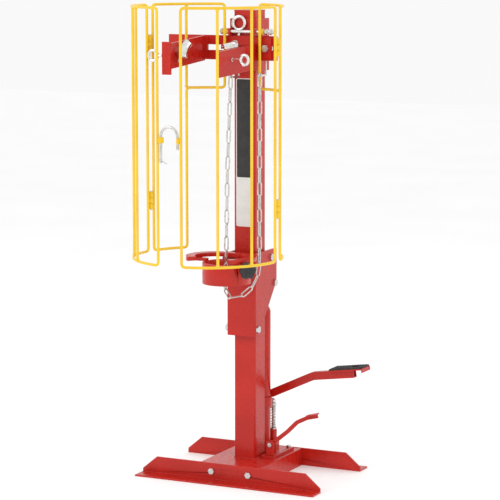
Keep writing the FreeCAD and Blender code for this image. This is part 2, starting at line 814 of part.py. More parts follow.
def fulcrum_bracket():
    """The clip round the jack with two ears that hold the pedal's pivot pin."""
    z = pedal_pivot_height()
    band = tube(Vector(0, jack_y, z - 16.0), Vector(0, jack_y, z + 16.0), jack_radius + 5.0, jack_radius)
    band = band.cut(block(-60, 60, jack_y - 60, jack_y - jack_radius + 2.0, 0, 1000))
    parts = [band]
    lever_near = pump_y - lever_half_depth
    lever_far = pump_y + lever_half_depth
    for y0, y1 in ((lever_near - 6.5, lever_near - 0.5), (lever_far + 0.5, lever_far + 6.5)):
        parts.append(block(pedal_pivot_x - 14.0, pedal_pivot_x + 12.0, y0, y1, z - 14.0, z + 14.0))
    parts.append(block(pedal_pivot_x - 26.0, pedal_pivot_x - 15.0, jack_y + 24.0, lever_far + 6.5,
            z - 14.0, z + 14.0))
    for y0, y1 in ((lever_near - 6.5, lever_near - 0.5), (lever_far + 0.5, lever_far + 6.5)):
        parts.append(block(pedal_pivot_x - 20.0, pedal_pivot_x - 10.0, y0, y1, z - 14.0, z + 14.0))
    shape = fuse(parts).cut(rod(Vector(0, jack_y, 0), Vector(0, jack_y, 1000), jack_radius))
    pin = rod(Vector(pedal_pivot_x, lever_near - 10, z), Vector(pedal_pivot_x, lever_far + 10, z),
            pedal_pin_radius)
    return shape.cut(pin)


def pedal_pin():
    """The pedal's pivot pin."""
    z = pedal_pivot_height()
    low = pump_y - lever_half_depth - 6.5
    high = pump_y + lever_half_depth + 9.0
    pin = rod(Vector(pedal_pivot_x, low, z), Vector(pedal_pivot_x, high, z), pedal_pin_radius)
    return pin.fuse(rod(Vector(pedal_pivot_x, high - 2.0, z), Vector(pedal_pivot_x, high, z), 8.0))


def bent_bar(points, half_height, y0, y1):
    """A flat bar bent in the XZ plane, as thick as twice half_height, between two depths."""
    parts = []
    for (xa, za), (xb, zb) in zip(points, points[1:]):
        along = Vector(xb - xa, 0, zb - za)
        side = Vector(-along.z, 0, along.x).normalize() * half_height
        a, b = Vector(xa, y0, za), Vector(xb, y0, zb)
        parts.append(prism([a + side, b + side, b - side, a - side], Y * (y1 - y0)))
    for x, z in points[1:-1]:
        parts.append(rod(Vector(x, y0, z), Vector(x, y1, z), half_height))
    return fuse(parts)


def smooth_points(points, radius, steps=6):
    """The same run of points with each inner corner rounded by short steps of an arc."""
    rounded = [points[0]]
    for before, corner, after in zip(points, points[1:], points[2:]):
        c = Vector(corner[0], 0, corner[1])
        a = (Vector(before[0], 0, before[1]) - c).normalize()
        b = (Vector(after[0], 0, after[1]) - c).normalize()
        half = a.getAngle(b) / 2
        back = radius / math.tan(half)
        centre = c + (a + b).normalize() * (radius / math.sin(half))
        start = c + a * back - centre
        end = c + b * back - centre
        sweep = start.getAngle(end)
        normal = start.cross(end).normalize()
        for step in range(steps + 1):
            turned = FreeCAD.Rotation(normal, math.degrees(sweep * step / steps)).multVec(start)
            place = centre + turned
            rounded.append((place.x, place.z))
    rounded.append(points[-1])
    return rounded


def pedal_lever():
    """The square-tube pedal lever: solid at its pivot and open at its foot end."""
    pivot = (pedal_pivot_x, pedal_pivot_height())
    y0 = pump_y - lever_half_depth
    y1 = pump_y + lever_half_depth
    run = smooth_points([pivot, lever_bend, lever_end], lever_bend_radius)
    shape = bent_bar(run, lever_half_height, y0, y1)
    shape = shape.fuse(rod(Vector(pivot[0], y0, pivot[1]), Vector(pivot[0], y1, pivot[1]),
            lever_half_height))
    end, before = Vector(lever_end[0], 0, lever_end[1]), Vector(lever_bend[0], 0, lever_bend[1])
    back = (before - end).normalize() * 60.0
    inner = lever_half_height - lever_wall
    hollow_run = [(end.x, end.z), (end.x + back.x, end.z + back.z)]
    hollow = bent_bar(hollow_run, inner, y0 + lever_wall, y1 - lever_wall)
    shape = shape.cut(hollow)
    hole_radius = pedal_pin_radius + running_gap
    return shape.cut(rod(Vector(pivot[0], y0 - 1, pivot[1]), Vector(pivot[0], y1 + 1, pivot[1]),
            hole_radius))


def lever_tilt():
    """The slope of the lever's outer run, in degrees."""
    return math.degrees(math.atan2(lever_end[1] - lever_bend[1], lever_end[0] - lever_bend[0]))


def on_lever_end(shape):
    """A shape drawn flat at the lever's end, tilted as the foot plate is."""
    shape.rotate(Vector(lever_end[0], pump_y, lever_end[1]), Y, -lever_tilt())
    return shape


def foot_plate():
    """The folded steel foot plate on the lever's end."""
    start = lever_end[0] - foot_plate_length * 0.66
    low = lever_end[1] + lever_half_height
    half = foot_plate_width / 2
    plate = block(start, start + foot_plate_length, pump_y - half, pump_y + half, low,
            low + foot_plate_thickness)
    lip = block(start + foot_plate_length - 3.0, start + foot_plate_length, pump_y - half, pump_y + half,
                low - 8.0, low)
    return on_lever_end(fuse([plate, lip]))


def pedal_pad():
    """The rubber pad on the foot plate, with raised ribs."""
    start = lever_end[0] - foot_plate_length * 0.66 + 1.5
    low = lever_end[1] + lever_half_height + foot_plate_thickness
    half = foot_plate_width / 2 - 1.5
    length = foot_plate_length - 3.0
    parts = [block(start, start + length, pump_y - half, pump_y + half, low, low + pad_thickness - 1.5)]
    ribs = 7
    for step in range(ribs):
        x = start + 4.0 + step * (length - 14.0) / (ribs - 1)
        parts.append(block(x, x + 6.0, pump_y - half + 4.0, pump_y + half - 4.0, low, low + pad_thickness))
    return on_lever_end(fuse(parts))


def piston_top():
    """The height of the pump piston's head, just under the lever."""
    slope = (lever_bend[1] - pedal_pivot_height()) / (lever_bend[0] - pedal_pivot_x)
    lean = math.atan(slope)
    return pedal_pivot_height() + slope * (pump_x - pedal_pivot_x) - (lever_half_height + 8.0) / math.cos(lean) - 3.0


def pump_piston():
    """The pump's piston with its spring cup and domed head."""
    low = rail_height - 1.0 + plate_thickness + 26.0
    top = piston_top()
    stem = rod(Vector(pump_x, pump_y, low), Vector(pump_x, pump_y, top), piston_radius)
    cup = rod(Vector(pump_x, pump_y, spring_top), Vector(pump_x, pump_y, spring_top + 5.0),
            spring_radius + 2.0)
    return fuse([stem, cup, Part.makeSphere(8.0, Vector(pump_x, pump_y, top))])


def return_spring():
    """The pedal's return spring round the piston."""
    height = spring_top - spring_bottom - 2 * spring_wire_radius
    pitch = height / spring_turns
    helix = Part.makeHelix(pitch, height, spring_radius)
    section = Part.Wire(Part.makeCircle(spring_wire_radius, Vector(spring_radius, 0, 0), Y))
    coil = Part.Wire(helix.Edges).makePipeShell([section], True, True)
    coil.translate(Vector(pump_x, pump_y, spring_bottom + spring_wire_radius))
    washer = tube(Vector(pump_x, pump_y, pump_barrel_top), Vector(pump_x, pump_y, spring_bottom), 10.0, 6.5)
    return [coil, washer]


def release_bracket():
    """The two ears that hold the release pedal's pin."""
    low = rail_height - 1.0 + plate_thickness
    gap = release_thickness / 2 + 0.6
    parts = [block(release_x - 13.0, release_x + 13.0, release_y - gap - 5.0, release_y + gap + 5.0,
            low, low + 5.0)]
    for y0, y1 in ((release_y - gap - 5.0, release_y - gap), (release_y + gap, release_y + gap + 5.0)):
        parts.append(block(release_x - 13.0, release_x + 13.0, y0, y1, low, release_z + 10.0))
    shape = fuse(parts)
    return shape.cut(rod(Vector(release_x, -100, release_z), Vector(release_x, 100, release_z),
            release_pin_radius))


def release_pin():
    """The release pedal's pin and nut."""
    gap = release_thickness / 2 + 5.6
    return bolt(Vector(release_x, release_y - gap, release_z),
            Vector(release_x, release_y + gap, release_z),
                release_pin_radius, 12.0, 4.0, 4.0)


def release_lever():
    """The curved release pedal with its flattened tip."""
    points = [(release_x + x, release_z + z) for x, z in release_bends]
    run = smooth_points(points, release_bend_radius)
    y0 = release_y - release_thickness / 2
    y1 = release_y + release_thickness / 2
    bar = bent_bar(run, release_half_height, y0, y1)
    eye = rod(Vector(release_x, y0, release_z), Vector(release_x, y1, release_z), 8.5)
    tip = block(points[-1][0] - 32.0, points[-1][0], release_y - 13.0, release_y + 13.0, -2.0, 2.0)
    lean = math.degrees(math.atan2(points[-1][1] - points[-2][1], points[-1][0] - points[-2][0]))
    tip.translate(Vector(0, 0, points[-1][1] + release_half_height))
    tip.rotate(Vector(points[-1][0], 0, points[-1][1]), Y, -lean)
    hole_radius = release_pin_radius + running_gap
    hole = rod(Vector(release_x, y0 - 1, release_z), Vector(release_x, y1 + 1, release_z), hole_radius)
    return fuse([bar, eye, tip]).cut(hole)


def chain_link(centre, along, normal):
    """One oval link: two straights and two half rings."""
    across = normal.cross(along).normalize()
    radius = chain_link_width / 2 - chain_wire_radius
    straight = chain_link_length / 2 - radius - chain_wire_radius
    upper = centre + along * straight
    lower = centre - along * straight
    left_low, left_high = lower - across * radius, upper - across * radius
    right_low, right_high = lower + across * radius, upper + across * radius
    edges = [
        Part.LineSegment(left_low, left_high).toShape(),
        Part.Arc(left_high, upper + along * radius, right_high).toShape(),
        Part.LineSegment(right_high, right_low).toShape(),
        Part.Arc(right_low, lower - along * radius, left_low).toShape(),
    ]
    path = Part.Wire(edges)
    section = Part.Wire(Part.makeCircle(chain_wire_radius, left_low, along))
    return path.makePipeShell([section], True, False)


def chain_route():
    """The hanging line of the safety chain, from the bar's left tab round to its right tab."""
    return [
        Vector(-12, -98, 1180), Vector(-20, -105, 900), Vector(-24, -106, 640), Vector(-26, -112, 575),
        Vector(-14, -128, 549), Vector(12, -138, 543), Vector(44, -126, 554), Vector(69, -98, 588),
        Vector(73, -86, 650), Vector(74, -86, 1186),
    ]


def chain_links():
    """The chain's links, each a quarter turn from the one before."""
    route = chain_route()
    lengths = [(b - a).Length for a, b in zip(route, route[1:])]
    count = int(sum(lengths) // chain_pitch)
    count -= 1 - count % 2

    def point_at(distance):
        for a, b, length in zip(route, route[1:], lengths):
            if distance <= length:
                return a + (b - a) * (distance / length)
            distance -= length
        return Vector(route[-1])

    links = []
    pitch = sum(lengths) / count
    for step in range(count):
        start = point_at(step * pitch)
        end = point_at((step + 1) * pitch)
        along = (end - start).normalize()
        reference = Y if abs(along.dot(Y)) < 0.8 else X
        flat = along.cross(reference).normalize()
        normal = flat if step % 2 else along.cross(flat).normalize()
        links.append(chain_link((start + end) * 0.5, along, normal))
    return links


def chain_tabs():
    """Two hooks under the bar that the chain's ends hang from."""
    hooks = []
    for end in (chain_route()[0], chain_route()[-1]):
        stem_top = Vector(end.x, bar_front + bar_thickness / 2, bar_bottom)
        stem_low = Vector(end.x, bar_front + bar_thickness / 2, end.z - chain_hook_drop)
        tip = Vector(end.x, end.y - chain_hook_reach, end.z - chain_hook_drop)
        parts = [rod(a, b, chain_hook_radius) for a, b in
                 ((stem_low, stem_top), (tip, stem_low), (tip, tip + Z * chain_hook_lip))]
        parts += [Part.makeSphere(chain_hook_radius, corner) for corner in (stem_low, tip)]
        hooks.append(fuse(parts))
    return hooks


def clamp_bolt(bolt_x):
    """An arm's clamp bolt with its washer behind the bar."""
    front = bar_front - slide_gap - shoe_thickness
    back = -sleeve_face + slide_gap
    head = hexagon(Vector(bolt_x, front, slot_middle), Y * -1.0, 19.0, 5.5)
    shank = rod(Vector(bolt_x, front, slot_middle), Vector(bolt_x, back + 12.0, slot_middle),
            clamp_bolt_radius)
    washer = rod(Vector(bolt_x, back, slot_middle), Vector(bolt_x, back + 3.0, slot_middle), 14.0)
    nut = hexagon(Vector(bolt_x, back + 3.0, slot_middle), Vector(Y), 19.0, 7.0)
    return fuse([head, shank, washer, nut])


def build():
    """Every node's name with its solids."""
    left_arm, left_bolt_x = arm_plate(left_arm_x, left_arm_angle, -1, bar_top - 1.0, True)
    right_top = bar_top - right_arm_lower
    right_arm, right_bolt_x = arm_plate(right_arm_x, right_arm_angle, 1, right_top, False)
    left_foot, left_along, left_inner = arm_frame(left_arm_x, left_arm_angle, -1)
    right_foot, right_along, right_inner = arm_frame(right_arm_x, right_arm_angle, 1)
    left_eye_seat = left_foot + left_along * (arm_reach + 3.0) - left_inner * (arm_thickness / 2 + end_flange_width)
    left_eye_seat.z = bar_top - 51.0
    right_eye_seat = right_foot + right_along * (arm_reach * 0.69) - right_inner * (arm_thickness / 2)
    right_eye_seat.z = right_top - 39.0
    places = carriage_pin_places()
    return {
        "base_beam": [base_beam()],
        "front_rail": [rail(-1)],
        "rear_rail": [rail(1)],
        "rail_bolts": rail_bolts(),
        "column": [column()],
        "column_cap": [column_cap()],
        "column_label": [column_label()],
        "head_sleeve": [head_sleeve()],
        "head_shims": head_shims(),
        "head_bar": [head_bar()],
        "rod_brackets": rod_brackets(),
        "cage_rod": [cage_rod()],
        "top_eye_bolt": [eye_bolt(Vector(-10.6, -sleeve_face - 5.8, bar_top), Z, 16.5, 18.5, 5.0, Y)],
        "rear_left_panel": [rear_panel(rear_left_uprights, rear_left_top_upright, left_hinge)],
        "rear_right_panel": [rear_panel(rear_right_uprights, rear_right_top_upright, right_hinge)],
        "left_hinge_pins": hinge_pins(left_hinge),
        "right_hinge_pins": hinge_pins(right_hinge),
        "left_door": [door(left_door_uprights, left_hinge, left_door_uprights[0],
                left_door_uprights[-1], 1)],
        "right_door": [door(right_door_uprights, right_hinge, right_door_uprights[-1],
                right_door_uprights[0], -1)],
        "latch_hook": [latch_hook()],
        "left_arm": [left_arm],
        "left_claw": [arm_claw(left_arm_x, left_arm_angle, -1, bar_top - left_claw_drop,
                               left_claw_place, left_claw_tilt)],
        "left_clamp_bolt": [clamp_bolt(left_bolt_x)],
        "left_eye_bolt": [eye_bolt(left_eye_seat, left_inner * -1.0, 15.0, 14.5, 4.3, left_along)],
        "right_arm": [right_arm],
        "right_claw": [arm_claw(right_arm_x, right_arm_angle, 1, right_top - right_claw_drop,
                                right_claw_place, right_claw_tilt)],
        "right_clamp_bolt": [clamp_bolt(right_bolt_x)],
        "right_eye_bolt": [eye_bolt(right_eye_seat, right_inner * -1.0, 30.0, 13.0, 4.8, right_along)],
        "chain_hooks": chain_tabs(),
        "safety_chain": chain_links(),
        "carriage_frame": [carriage_frame()],
        "carriage_bolts": carriage_bolts(),
        "upper_roller": [roller(places[0], upper_roller_radius)],
        "lower_roller": [roller(places[2], lower_roller_radius)],
        "ram_rod": [ram_rod()],
        "collar_bracket": [collar_bracket()],
        "strut_collar": [strut_collar()],
        "spring_seat": [spring_seat()],
        "clamp_screw": [clamp_screw()],
        "clamp_knob": [clamp_knob()],
        "jack_plate": [jack_plate()],
        "jack_plate_screws": jack_plate_screws(),
        "jack_cylinder": [jack_cylinder()],
        "jack_gland": [jack_gland()],
        "pump_block": [pump_block()],
        "fulcrum_bracket": [fulcrum_bracket()],
        "pedal_pin": [pedal_pin()],
        "pedal_lever": [pedal_lever()],
        "foot_plate": [foot_plate()],
        "pedal_pad": [pedal_pad()],
        "pump_piston": [pump_piston()],
        "return_spring": return_spring(),
        "release_bracket": [release_bracket()],
        "release_pin": [release_pin()],
        "release_lever": [release_lever()],
    }


os.makedirs("parts", exist_ok=True)
for name, solids in build().items():
    for solid in solids:
        if not solid.isValid():
            print("not valid:", name)
    shape = solids[0] if len(solids) == 1 else Part.makeCompound(solids)
    shape.exportStep(f"parts/{name}.step")
    print(f"{name}: {len(shape.Solids)} solid(s), {shape.Volume / 1000:.1f} cm3")
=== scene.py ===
"""The looks of a foot-pumped coil spring compressor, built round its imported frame, in metres."""
import json
import logging
import math
from dataclasses import dataclass
from enum import Enum

import bmesh
import bpy
from mathutils import Matrix, Vector


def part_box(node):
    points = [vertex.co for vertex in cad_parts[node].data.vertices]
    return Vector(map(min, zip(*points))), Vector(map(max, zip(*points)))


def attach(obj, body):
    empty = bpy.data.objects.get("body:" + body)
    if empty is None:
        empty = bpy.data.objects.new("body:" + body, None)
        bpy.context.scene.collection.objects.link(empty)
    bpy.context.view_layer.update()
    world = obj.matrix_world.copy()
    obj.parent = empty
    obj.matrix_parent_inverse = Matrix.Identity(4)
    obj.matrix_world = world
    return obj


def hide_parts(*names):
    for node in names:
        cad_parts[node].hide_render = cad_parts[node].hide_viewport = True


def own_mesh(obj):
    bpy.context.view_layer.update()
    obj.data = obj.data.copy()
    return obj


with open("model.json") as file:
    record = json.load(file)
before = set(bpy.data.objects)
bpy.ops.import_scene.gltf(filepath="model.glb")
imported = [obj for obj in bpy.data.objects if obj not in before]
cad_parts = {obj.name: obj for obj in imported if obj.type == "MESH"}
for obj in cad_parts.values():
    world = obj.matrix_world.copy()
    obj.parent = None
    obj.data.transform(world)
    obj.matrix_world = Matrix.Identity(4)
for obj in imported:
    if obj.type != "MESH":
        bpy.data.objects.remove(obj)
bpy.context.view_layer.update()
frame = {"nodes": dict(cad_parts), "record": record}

log = logging.getLogger("compressor")
X, Y, Z = Vector((1, 0, 0)), Vector((0, 1, 0)), Vector((0, 0, 1))
NOISE_SPAN = (0.35, 0.65)
BUMP_STRENGTH = 0.6
COLLAR_Y = -0.150
COLLAR_RADIUS = 0.070


class Slot(Enum):
    """The record's material slots."""

    RED = "red_paint"
    YELLOW = "yellow_paint"
    ZINC = "zinc_steel"
    POLISHED = "polished_steel"
    LABEL = "label_vinyl"
    PLASTIC = "black_plastic"
    RUBBER = "black_rubber"


def new_material(name: str) -> tuple[bpy.types.Material, bpy.types.ShaderNodeTree, bpy.types.Node]:
    """Start a node material.

    Args:
        name: The material's name.

    Returns:
        The material, its node tree and its Principled shader.
    """
    material = bpy.data.materials.new(name)
    material.use_nodes = True
    tree = material.node_tree
    return material, tree, tree.nodes["Principled BSDF"]


def noise(tree: bpy.types.NodeTree, scale: float, detail: float = 3.0,
        stretch: tuple = (1, 1, 1)) -> bpy.types.Node:
    """Add a noise texture in object space.

    Args:
        tree: The material's node tree.
        scale: Waves per metre.
        detail: Octaves of the noise.
        stretch: Scale along each axis.

    Returns:
        The noise node.
    """
    place = tree.nodes.new("ShaderNodeTexCoord")
    mapping = tree.nodes.new("ShaderNodeMapping")
    texture = tree.nodes.new("ShaderNodeTexNoise")
    mapping.inputs["Scale"].default_value = stretch
    texture.inputs["Scale"].default_value = scale
    texture.inputs["Detail"].default_value = detail
    tree.links.new(place.outputs["Object"], mapping.inputs["Vector"])
    tree.links.new(mapping.outputs["Vector"], texture.inputs["Vector"])
    return texture


def ramp(tree: bpy.types.NodeTree, source: bpy.types.Node, low: tuple, high: tuple,
        span: tuple) -> bpy.types.Node:
    """Add a colour ramp between two colours.

    Args:
        tree: The material's node tree.
        source: The node whose value drives the ramp.
        low: Colour at the ramp's start.
        high: Colour at the ramp's end.
        span: The two stops' places.

    Returns:
        The ramp node.
    """
    node = tree.nodes.new("ShaderNodeValToRGB")
    for stop, place, colour in zip(node.color_ramp.elements, span, (low, high)):
        stop.position = place
        stop.color = (*colour, 1.0)
    tree.links.new(source.outputs["Fac"], node.inputs["Fac"])
    return node


def roughen(tree: bpy.types.NodeTree, shader: bpy.types.Node, source: bpy.types.Node, low: float,
        high: float) -> None:
    """Vary a shader's roughness between two values.

    Args:
        tree: The material's node tree.
        shader: The Principled shader.
        source: The node whose value drives it.
        low: Smallest roughness.
        high: Largest roughness.
    """
    spread = tree.nodes.new("ShaderNodeMapRange")
    spread.inputs["From Min"].default_value = NOISE_SPAN[0]
    spread.inputs["From Max"].default_value = NOISE_SPAN[1]
    spread.inputs["To Min"].default_value = low
    spread.inputs["To Max"].default_value = high
    tree.links.new(source.outputs["Fac"], spread.inputs["Value"])
    tree.links.new(spread.outputs["Result"], shader.inputs["Roughness"])


def emboss(tree: bpy.types.NodeTree, shader: bpy.types.Node, source: bpy.types.Node, depth: float) -> None:
    """Bump a shader's surface from a node's value.

    Args:
        tree: The material's node tree.
        shader: The Principled shader.
        source: The node whose value is the height.
        depth: Height of the bump in metres.
    """
    bump = tree.nodes.new("ShaderNodeBump")
    bump.inputs["Strength"].default_value = BUMP_STRENGTH
    bump.inputs["Distance"].default_value = depth
    tree.links.new(source.outputs["Fac"], bump.inputs["Height"])
    tree.links.new(bump.outputs["Normal"], shader.inputs["Normal"])


@dataclass(frozen=True)
class PowderCoat:
    """Gloss paint with slight orange peel and a clear skin."""

    name: str
    colour: tuple
    shade: tuple
    peel: float = 420.0
    peel_depth: float = 0.00012
    fade: float = 9.0
    wear: float = 60.0
    rough: tuple = (0.24, 0.36)
    coat: float = 0.12
    coat_rough: float = 0.12
    specular: float = 0.32

    def build(self) -> bpy.types.Material:
        """Make the material."""
        material, tree, shader = new_material(self.name)
        broad = noise(tree, self.fade)
        tint = ramp(tree, broad, self.shade, self.colour, (0.32, 0.62))
        tree.links.new(tint.outputs["Color"], shader.inputs["Base Color"])
        fine = noise(tree, self.peel, 2.0)
        roughen(tree, shader, noise(tree, self.wear, 5.0), *self.rough)
        emboss(tree, shader, fine, self.peel_depth)
        shader.inputs["Coat Weight"].default_value = self.coat
        shader.inputs["Coat Roughness"].default_value = self.coat_rough
        shader.inputs["Specular IOR Level"].default_value = self.specular
        return material


@dataclass(frozen=True)
class PlatedSteel:
    """Plated or polished steel with fine drawn scratches."""

    name: str
    colour: tuple
    shade: tuple
    smooth: float
    rough: float
    scratch: float
    cloud: float = 75.0
    grain: float = 900.0

    def build(self) -> bpy.types.Material:
        """Make the material."""
        material, tree, shader = new_material(self.name)
        cloud = noise(tree, self.cloud, 4.0)
        tint = ramp(tree, cloud, self.shade, self.colour, (0.3, 0.6))
        tree.links.new(tint.outputs["Color"], shader.inputs["Base Color"])
        shader.inputs["Metallic"].default_value = 1.0
        drawn = noise(tree, self.grain, 3.0, (1.0, 1.0, 0.12))
        roughen(tree, shader, cloud, self.smooth, self.rough)
        emboss(tree, shader, drawn, self.scratch)
        return material


@dataclass(frozen=True)
class MouldedBlack:
    """Moulded plastic or rubber with a fine grain and a little dust."""

    name: str
    colour: tuple
    dust: tuple
    grain: float
    depth: float
    smooth: float
    rough: float
    patches: float = 38.0

    def build(self) -> bpy.types.Material:
        """Make the material."""
        material, tree, shader = new_material(self.name)
        tint = ramp(tree, noise(tree, self.patches, 6.0), self.colour, self.dust, (0.45, 0.8))
        tree.links.new(tint.outputs["Color"], shader.inputs["Base Color"])
        grain = noise(tree, self.grain, 3.0)
        roughen(tree, shader, grain, self.smooth, self.rough)
        emboss(tree, shader, grain, self.depth)
        return material


FINISHES = {
    Slot.RED: PowderCoat("red_powder_coat", (0.53, 0.016, 0.008), (0.45, 0.011, 0.005)).build(),
    Slot.YELLOW: PowderCoat("yellow_powder_coat", (0.90, 0.60, 0.030), (0.83, 0.52, 0.020), 600.0).build(),
    Slot.ZINC: PlatedSteel("zinc_plate", (0.70, 0.70, 0.69), (0.52, 0.52, 0.50), 0.22, 0.38,
            0.00004).build(),
    Slot.POLISHED: PlatedSteel("polished_steel", (0.82, 0.82, 0.81), (0.70, 0.70, 0.69), 0.08, 0.18,
            0.00002).build(),
    Slot.LABEL: MouldedBlack("dark_vinyl", (0.016, 0.016, 0.018), (0.03, 0.03, 0.03), 700.0, 0.00002,
            0.3, 0.42).build(),
    Slot.PLASTIC: MouldedBlack("black_moulding", (0.012, 0.012, 0.013), (0.035, 0.035, 0.036), 1100.0,
            0.0001,
                               0.38, 0.52).build(),
    Slot.RUBBER: MouldedBlack("black_rubber", (0.017, 0.017, 0.017), (0.06, 0.058, 0.055), 800.0, 0.00018,
                              0.62, 0.85).build(),
}
PALE_VINYL = MouldedBlack("pale_vinyl", (0.74, 0.74, 0.73), (0.66, 0.66, 0.65), 700.0, 0.00002, 0.32,
        0.44).build()


def to_object(mesh: bmesh.types.BMesh, name: str, sharp: float = 35.0) -> bpy.types.Object:
    """Turn a mesh under construction into an object with smooth shading.

    Args:
        mesh: The finished bmesh, which is freed.
        name: The object's name.
        sharp: Edges that bend by more than this many degrees stay crisp.

    Returns:
        The new object.
    """
    bmesh.ops.recalc_face_normals(mesh, faces=mesh.faces)
    data = bpy.data.meshes.new(name)
    mesh.to_mesh(data)
    mesh.free()
    data.shade_smooth()
    data.set_sharp_from_angle(angle=math.radians(sharp))
    thing = bpy.data.objects.new(name, data)
    bpy.context.scene.collection.objects.link(thing)
    return thing


def add_rings(mesh: bmesh.types.BMesh, rings: list, closed: bool) -> None:
    """Join rings of points into a skin, and cap its ends unless it closes on itself.

    Args:
        mesh: The bmesh to add to.
        rings: Lists of points, all of one length.
        closed: Whether the last ring joins the first.
    """
    made = [[mesh.verts.new(point) for point in ring] for ring in rings]
    count = len(made[0])
    pairs = list(zip(made, made[1:] + made[:1]))
    for low, high in pairs if closed else pairs[:-1]:
        for step in range(count):
            after = (step + 1) % count
            mesh.faces.new((low[step], low[after], high[after], high[step]))
    if not closed:
        mesh.faces.new(made[0])
        mesh.faces.new(made[-1])


def add_tube(mesh: bmesh.types.BMesh, path: list, radii: list, closed: bool = False,
        sides: int = 16) -> None:
    """Add a round bar that follows a path without twisting.

    Args:
        mesh: The bmesh to add to.
        path: The bar's middle line.
        radii: The bar's radius at each point.
        closed: Whether the bar joins its own start.
        sides: Number of sides.
    """
    count = len(path)
    tangents = []
    for step in range(count):
        before = path[step - 1] if closed or step else path[0]
        after = path[(step + 1) % count] if closed or step < count - 1 else path[-1]
        tangents.append((after - before).normalized())
    side = tangents[0].orthogonal().normalized()
    rings = []
    for step, (point, tangent) in enumerate(zip(path, tangents)):
        side = (side - tangent * side.dot(tangent)).normalized()
        other = tangent.cross(side)
        ring = []
        for part in range(sides):
            turn = 2 * math.pi * part / sides
            ring.append(point + (side * math.cos(turn) + other * math.sin(turn)) * radii[step])
        rings.append(ring)
    add_rings(mesh, rings, closed)


def add_lathe(mesh: bmesh.types.BMesh, start: Vector, along: Vector, profile: list,
        sides: int = 28) -> None:
    """Add a turned piece whose profile is a closed loop of radius and distance.

    Args:
        mesh: The bmesh to add to.
        start: Where distance is nought.
        along: The turning axis.
        profile: The loop's points, each a radius and a distance.
        sides: Number of sides.
    """
    axis = along.normalized()
    side = axis.orthogonal().normalized()
    other = axis.cross(side)
    rings = []
    for part in range(sides):
        turn = 2 * math.pi * part / sides
        out = side * math.cos(turn) + other * math.sin(turn)
        rings.append([start + out * radius + axis * distance for radius, distance in profile])
    made = [[mesh.verts.new(point) for point in ring] for ring in rings]
    for low, high in zip(made, made[1:] + made[:1]):
        for step in range(len(profile)):
            after = (step + 1) % len(profile)
            mesh.faces.new((low[step], low[after], high[after], high[step]))


def sleeve_profile(outer: float, inner: float, length: float, chamfer: float = 0.0008) -> list:
    """Draw the closed profile of a bored sleeve with chamfered outer edges.

    Args:
        outer: The sleeve's outer radius.
        inner: The bore's radius.
        length: The sleeve's length.
        chamfer: Width of the outer chamfers.

    Returns:
        The profile's points, each a radius and a distance.
    """
    return [(inner, 0), (outer - chamfer, 0), (outer, chamfer), (outer, length - chamfer),
            (outer - chamfer, length), (inner, length)]


def add_slab(mesh: bmesh.types.BMesh, outline: list, depth: Vector, edge: float) -> None:
    """Add a flat plate with its edges rounded.

    Args:
        mesh: The bmesh to add to.
        outline: The corners of one face.
        depth: How far, and which way, the plate is thick.
        edge: Width of the rounding.
    """
    part = bmesh.new()
    face = part.faces.new([part.verts.new(point) for point in outline])
    grown = bmesh.ops.extrude_face_region(part, geom=[face])
    bmesh.ops.translate(part, vec=depth,
            verts=[g for g in grown["geom"] if isinstance(g, bmesh.types.BMVert)])
    bmesh.ops.recalc_face_normals(part, faces=part.faces)
    if edge > 0:
        crisp = [e for e in part.edges if e.calc_face_angle(0.0) > math.radians(30)]
        bmesh.ops.bevel(part, geom=crisp, offset=edge, segments=3, profile=0.5, affect="EDGES")
    loose = bpy.data.meshes.new("part")
    part.to_mesh(loose)
    part.free()
    mesh.from_mesh(loose)
    bpy.data.meshes.remove(loose)


def box_outline(low: Vector, high: Vector) -> list:
    """List the lower face of a box.

    Args:
        low: The box's lowest corner.
        high: The corner opposite.

    Returns:
        The face's four corners, at the lowest corner's height.
    """
    return [Vector((low.x, low.y, low.z)), Vector((high.x, low.y, low.z)),
            Vector((high.x, high.y, low.z)), Vector((low.x, high.y, low.z))]


def rounded_rectangle(half_width: float, half_height: float, corner: float, steps: int = 6) -> list:
    """List points round a rectangle with rounded corners.

    Args:
        half_width: Half its width.
        half_height: Half its height.
        corner: The corners' radius.
        steps: Steps round each corner.

    Returns:
        The points, in the plane's own two directions.
    """
    points = []
    for quarter, (sx, sy) in enumerate(((1, 1), (-1, 1), (-1, -1), (1, -1))):
        for step in range(steps + 1):
            turn = math.radians(90 * (quarter + step / steps))
            points.append((sx * (half_width - corner) + corner * math.cos(turn),
                           sy * (half_height - corner) + corner * math.sin(turn)))
    return points


class Assembly:
    """A group of pieces that are built, dressed and hung on the frame together."""

    def place(self, mesh: bmesh.types.BMesh, name: str, body: str, slot: Slot, *nodes: str,
              material: bpy.types.Material | None = None) -> bpy.types.Object:
        """Finish one piece and hang it on its body.

        Args:
            mesh: The piece's bmesh.
            name: The piece's name.
            body: The body that it rides on.
            slot: The slot that it takes its finish from.
            nodes: The CAD nodes that it stands for.
            material: A finish of its own, in place of the slot's.

        Returns:
            The piece.
        """
        piece = to_object(mesh, name)
        piece.data.materials.append(material or FINISHES[slot])
        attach(piece, body)
        if nodes:
            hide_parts(*nodes)
        log.info("%s rides on %s, %d faces", name, body, len(piece.data.polygons))
        return piece


